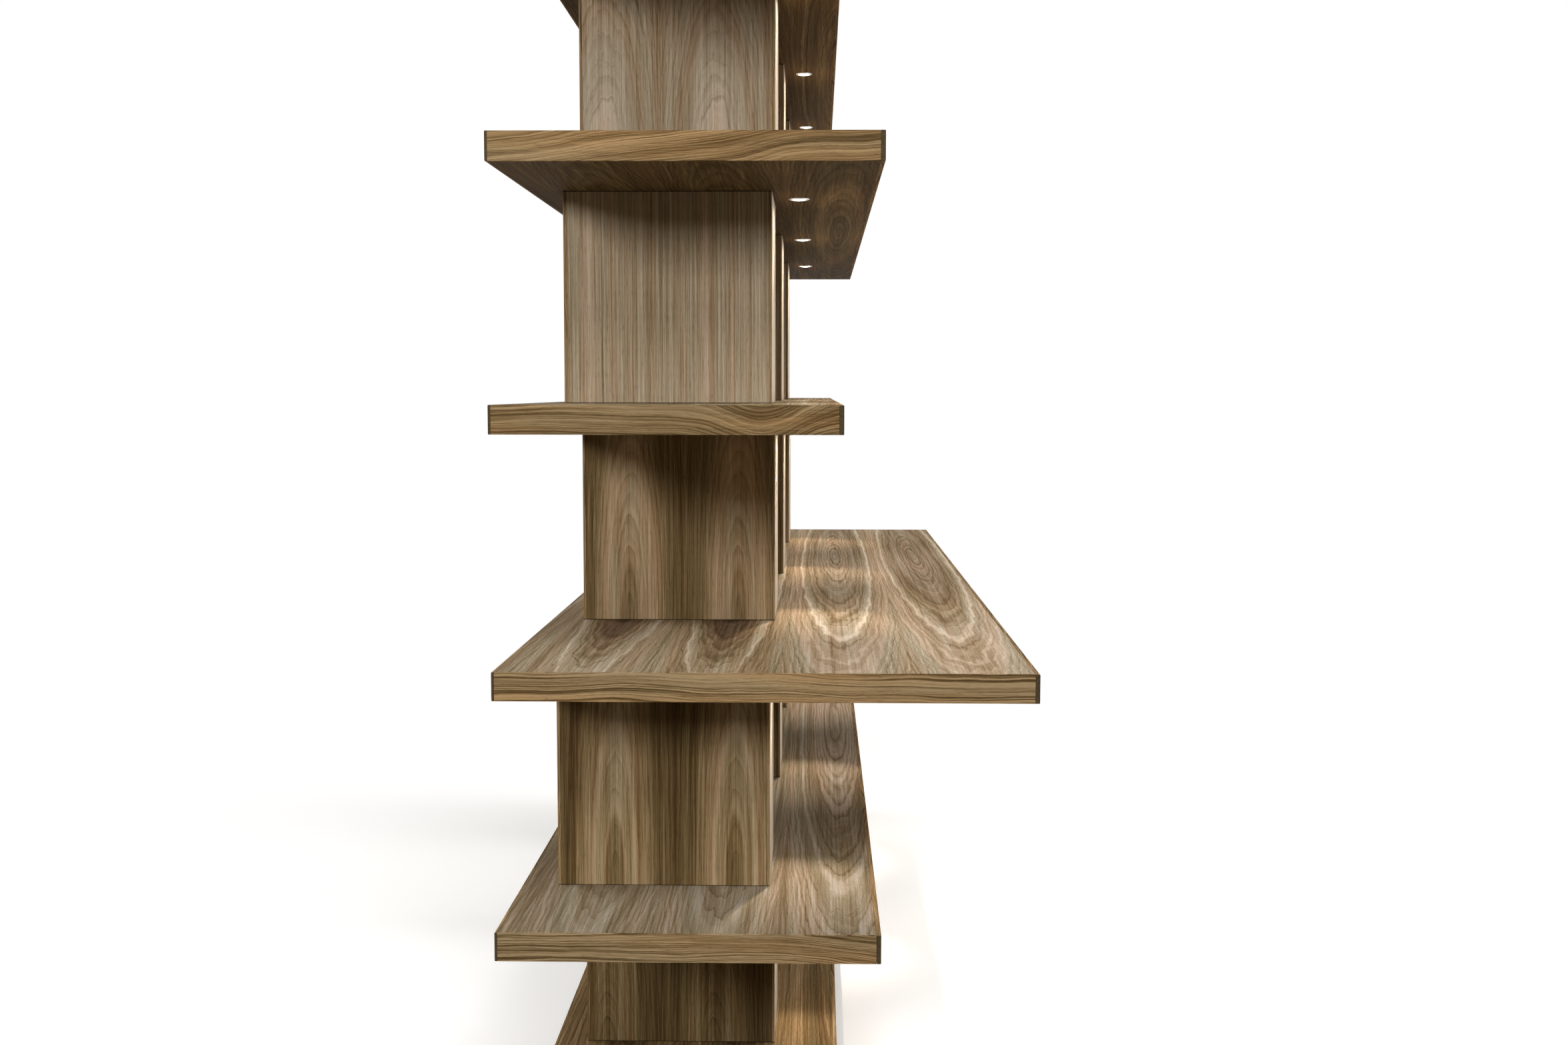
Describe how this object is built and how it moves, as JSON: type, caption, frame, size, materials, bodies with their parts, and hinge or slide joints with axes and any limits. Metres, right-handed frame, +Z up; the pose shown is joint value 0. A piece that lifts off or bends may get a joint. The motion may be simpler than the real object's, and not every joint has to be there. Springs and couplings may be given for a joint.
{
  "type": "bookcase",
  "caption": "Open walnut display bookcase with thick cantilevered shelves on staggered hollow posts, a deeper desk-height shelf, recessed downlights and levelling feet.",
  "frame": {"origin": "centre of the bounding box in plan, on the floor", "axes": "+X along the length, +Y to the back plane (the front and the desk side face -Y), +Z up"},
  "size_m": [2.24, 0.711, 1.8],
  "materials": {
    "slab_veneer": "Walnut veneer on the slabs, grain along the length, satin lacquer.",
    "post_veneer": "Walnut veneer on the posts, grain upright, satin lacquer.",
    "solid_walnut": "Solid walnut edging, lighter than the veneer, satin lacquer.",
    "batten_wood": "Plain softwood battens of the hidden base.",
    "satin_aluminium": "Satin anodised downlight bodies.",
    "cable_jacket": "White jacket of the low-voltage wiring.",
    "black_nylon": "Black moulded case of the driver.",
    "zinc_steel": "Bright zinc-plated levelling feet.",
    "led_lens": "Frosted lens of a downlight."
  },
  "bodies": {
    "root": {"base_shelf_panel": "slab_veneer", "base_shelf_front_band": "solid_walnut", "base_shelf_back_band": "solid_walnut", "low_shelf_panel": "slab_veneer", "low_shelf_front_band": "solid_walnut", "low_shelf_back_band": "solid_walnut", "desk_shelf_panel": "slab_veneer", "desk_shelf_front_band": "solid_walnut", "desk_shelf_back_band": "solid_walnut", "middle_shelf_panel": "slab_veneer", "middle_shelf_front_band": "solid_walnut", "middle_shelf_back_band": "solid_walnut", "high_shelf_panel": "slab_veneer", "high_shelf_front_band": "solid_walnut", "high_shelf_back_band": "solid_walnut", "top_shelf_panel": "slab_veneer", "top_shelf_front_band": "solid_walnut", "top_shelf_back_band": "solid_walnut", "base_post_1": "post_veneer", "base_post_2": "post_veneer", "base_post_3": "post_veneer", "low_post_1": "post_veneer", "low_post_2": "post_veneer", "low_post_3": "post_veneer", "desk_post_1": "post_veneer", "desk_post_2": "post_veneer", "desk_post_3": "post_veneer", "middle_post_1": "post_veneer", "middle_post_2": "post_veneer", "middle_post_3": "post_veneer", "high_post_1": "post_veneer", "high_post_2": "post_veneer", "high_post_3": "post_veneer", "base_downlight_1": "satin_aluminium", "base_downlight_2": "satin_aluminium", "base_downlight_3": "satin_aluminium", "low_downlight_1": "satin_aluminium", "low_downlight_2": "satin_aluminium", "low_downlight_3": "satin_aluminium", "desk_downlight_1": "satin_aluminium", "desk_downlight_2": "satin_aluminium", "desk_downlight_3": "satin_aluminium", "middle_downlight_1": "satin_aluminium", "middle_downlight_2": "satin_aluminium", "middle_downlight_3": "satin_aluminium", "high_downlight_1": "satin_aluminium", "high_downlight_2": "satin_aluminium", "high_downlight_3": "satin_aluminium", "lighting_loom": "cable_jacket", "led_driver": "black_nylon", "plinth_front_rail": "batten_wood", "plinth_back_rail": "batten_wood", "plinth_near_rail": "batten_wood", "plinth_far_rail": "batten_wood"},
    "front_foot_1": {"front_foot_1": "zinc_steel"},
    "front_foot_2": {"front_foot_2": "zinc_steel"},
    "front_foot_3": {"front_foot_3": "zinc_steel"},
    "back_foot_1": {"back_foot_1": "zinc_steel"},
    "back_foot_2": {"back_foot_2": "zinc_steel"},
    "back_foot_3": {"back_foot_3": "zinc_steel"}
  },
  "joints": [
    {"name": "front_foot_1_adjust", "type": "slide", "parent": "root", "child": "front_foot_1", "axis": [0, 0, -1], "range_m": [0, 0.01]},
    {"name": "front_foot_2_adjust", "type": "slide", "parent": "root", "child": "front_foot_2", "axis": [0, 0, -1], "range_m": [0, 0.01]},
    {"name": "front_foot_3_adjust", "type": "slide", "parent": "root", "child": "front_foot_3", "axis": [0, 0, -1], "range_m": [0, 0.01]},
    {"name": "back_foot_1_adjust", "type": "slide", "parent": "root", "child": "back_foot_1", "axis": [0, 0, -1], "range_m": [0, 0.01]},
    {"name": "back_foot_2_adjust", "type": "slide", "parent": "root", "child": "back_foot_2", "axis": [0, 0, -1], "range_m": [0, 0.01]},
    {"name": "back_foot_3_adjust", "type": "slide", "parent": "root", "child": "back_foot_3", "axis": [0, 0, -1], "range_m": [0, 0.01]}
  ]
}
